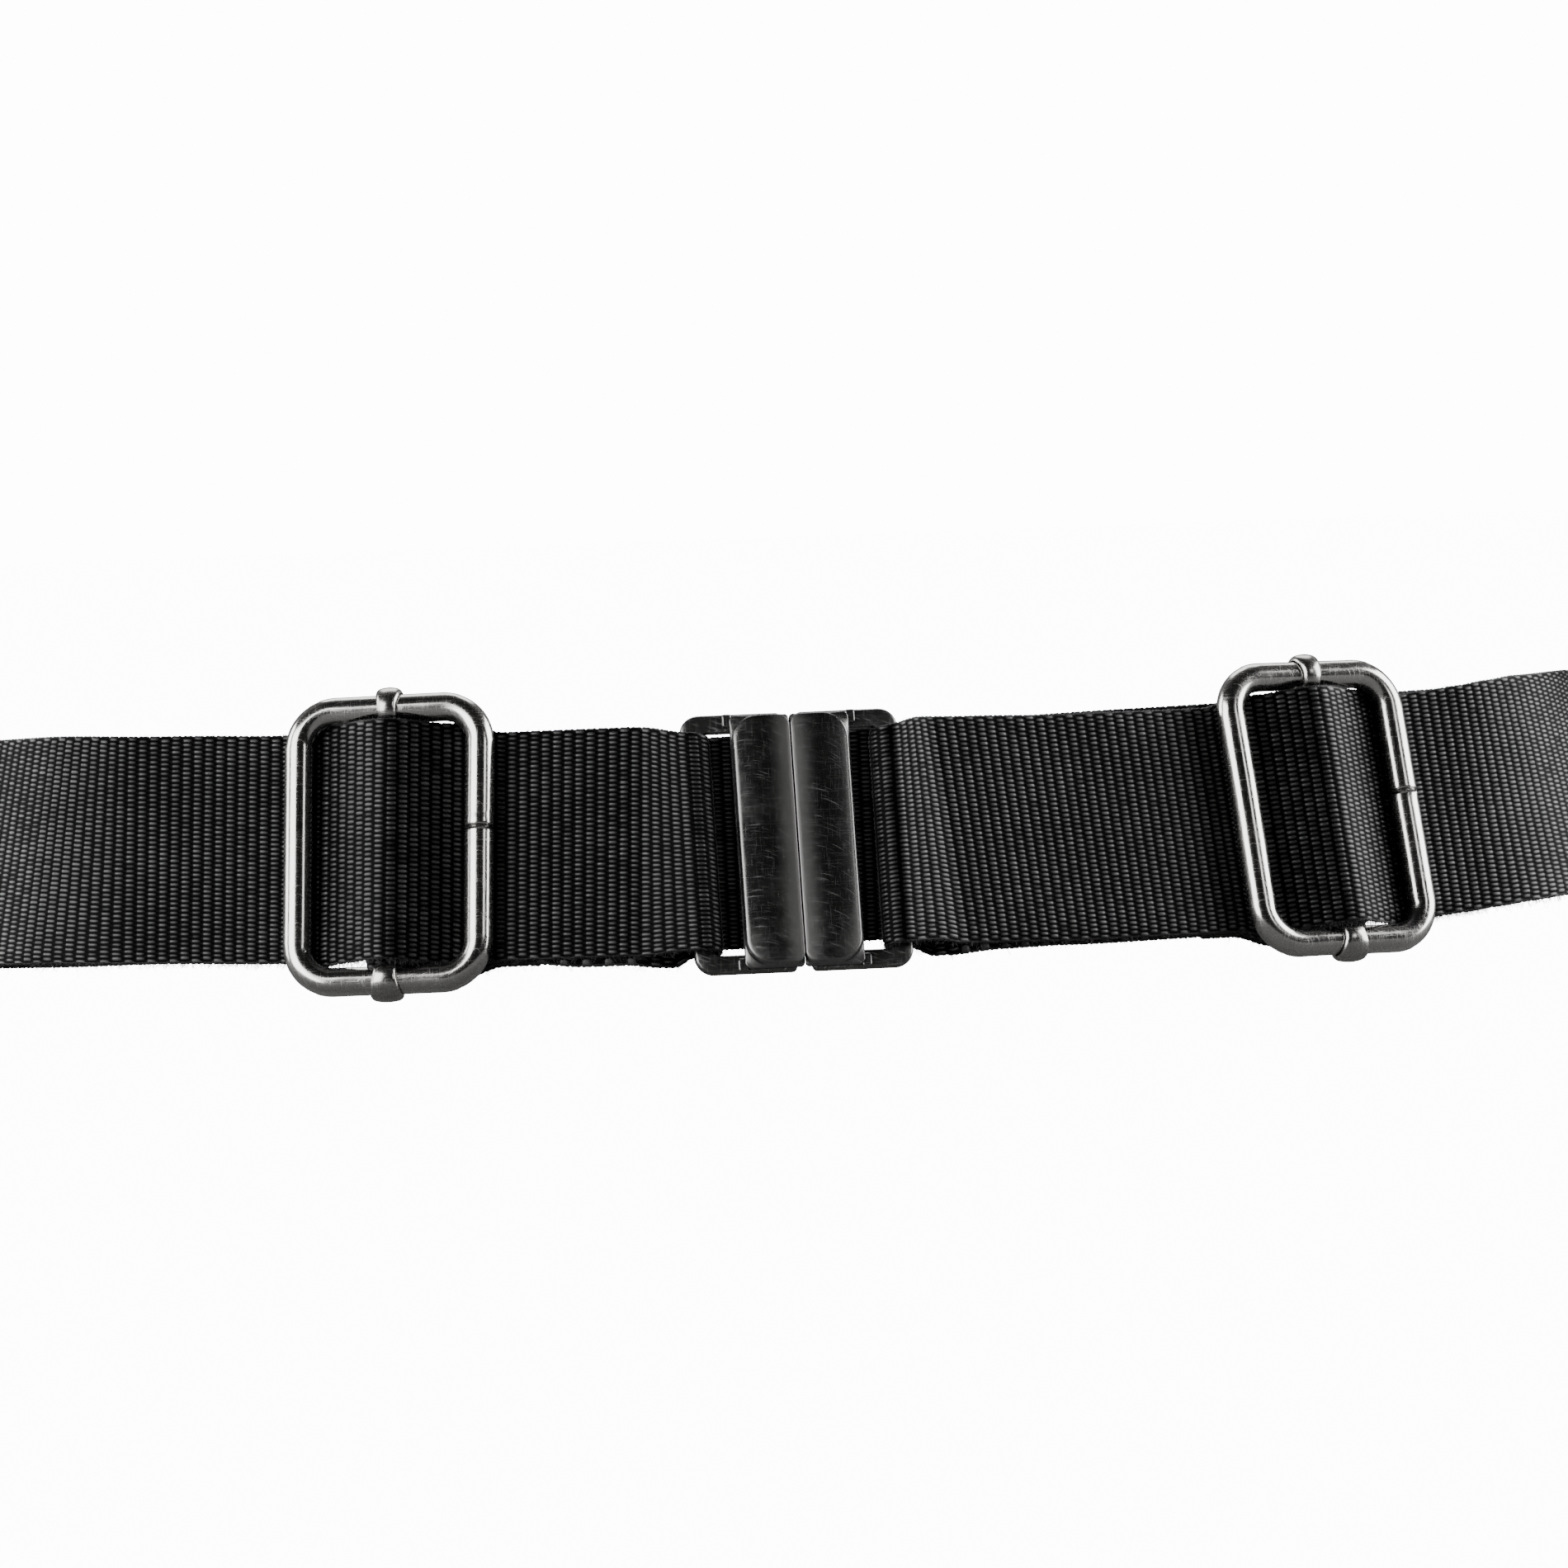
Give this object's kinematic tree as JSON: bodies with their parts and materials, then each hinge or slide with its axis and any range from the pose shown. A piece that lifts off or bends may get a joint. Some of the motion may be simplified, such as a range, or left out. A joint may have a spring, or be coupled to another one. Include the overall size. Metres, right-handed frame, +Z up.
{
  "type": "dive weight belt",
  "caption": "Webbing waist belt for dive weights, with wire sliders on both ends and a two-piece interlocking hook buckle at the front.",
  "frame": {"origin": "centre of the belt's footprint, on the floor it stands on", "axes": "+X towards the right-hand slider seen from the front, -Y out of the buckle, +Z up"},
  "size_m": [0.3986, 0.2092, 0.0684],
  "materials": {
    "webbing": "woven black nylon",
    "thread": "black polyester thread",
    "slider_steel": "nickel plated wire, scuffed",
    "bar_steel": "plated strip",
    "buckle_steel": "polished dark nickel, scratched",
    "base_steel": "dark nickel plated strip"
  },
  "bodies": {
    "belt": {"rear_webbing": "webbing", "left_bend_webbing": "webbing", "right_bend_webbing": "webbing"},
    "left_end": {"left_buckle_fold": "webbing", "left_buckle_span": "webbing", "left_outer_span": "webbing", "left_return_webbing": "webbing"},
    "left_slider": {"left_slider_frame": "slider_steel"},
    "left_bar": {"left_slider_bar": "bar_steel", "left_sewn_end": "webbing", "left_stitching": "thread", "left_hump_webbing": "webbing"},
    "left_half": {"left_buckle_loop": "base_steel", "left_buckle_cover": "buckle_steel"},
    "right_end": {"right_buckle_fold": "webbing", "right_buckle_span": "webbing", "right_outer_span": "webbing", "right_return_webbing": "webbing"},
    "right_slider": {"right_slider_frame": "slider_steel"},
    "right_bar": {"right_slider_bar": "bar_steel", "right_sewn_end": "webbing", "right_stitching": "thread", "right_hump_webbing": "webbing"},
    "right_half": {"right_buckle_loop": "base_steel", "right_buckle_cover": "buckle_steel", "buckle_tongue": "base_steel"}
  },
  "joints": [
    {"name": "left_end_swing", "type": "hinge", "parent": "belt", "child": "left_end", "pos_m": [-0.15015, -0.06871, 0.03164], "axis": [-0.094, -0.2607, -0.9608], "range_deg": [0, 60], "deforming": ["left_bend_webbing"]},
    {"name": "left_slider_slide", "type": "slide", "parent": "left_end", "child": "left_slider", "axis": [-0.9847, 0.1733, -0.0158], "range_m": [-0.022, 0.012], "deforming": ["left_buckle_span", "left_outer_span", "left_return_webbing"]},
    {"name": "left_bar_float", "type": "slide", "parent": "left_slider", "child": "left_bar", "axis": [-0.9847, 0.1733, -0.0158], "range_m": [-0.004, 0.004], "deforming": ["left_hump_webbing", "left_sewn_end", "left_stitching"]},
    {"name": "left_half_fold", "type": "hinge", "parent": "left_end", "child": "left_half", "pos_m": [-0.01472, -0.09322, 0.03384], "axis": [-0.0335, 0.282, 0.9588], "range_deg": [0, 35]},
    {"name": "right_end_swing", "type": "hinge", "parent": "belt", "child": "right_end", "pos_m": [0.16691, -0.01812, 0.03216], "axis": [-0.1538, 0.2347, 0.9598], "range_deg": [0, 24], "deforming": ["right_bend_webbing"]},
    {"name": "right_slider_slide", "type": "slide", "parent": "right_end", "child": "right_slider", "axis": [0.8911, 0.4537, -0.0119], "range_m": [-0.045, 0.004], "deforming": ["right_buckle_span", "right_outer_span", "right_return_webbing"]},
    {"name": "right_bar_float", "type": "slide", "parent": "right_slider", "child": "right_bar", "axis": [0.8911, 0.4537, -0.0119], "range_m": [-0.004, 0.004], "deforming": ["right_hump_webbing", "right_sewn_end", "right_stitching"]},
    {"name": "right_half_fold", "type": "hinge", "parent": "right_end", "child": "right_half", "pos_m": [0.02844, -0.08868, 0.03402], "axis": [0.0335, -0.282, -0.9588], "range_deg": [0, 35]}
  ],
  "couplings": [
    {"joint": "right_half_fold", "follows": "left_half_fold", "ratio": 1},
    {"joint": "right_end_swing", "follows": "left_end_swing", "ratio": 0.4}
  ]
}
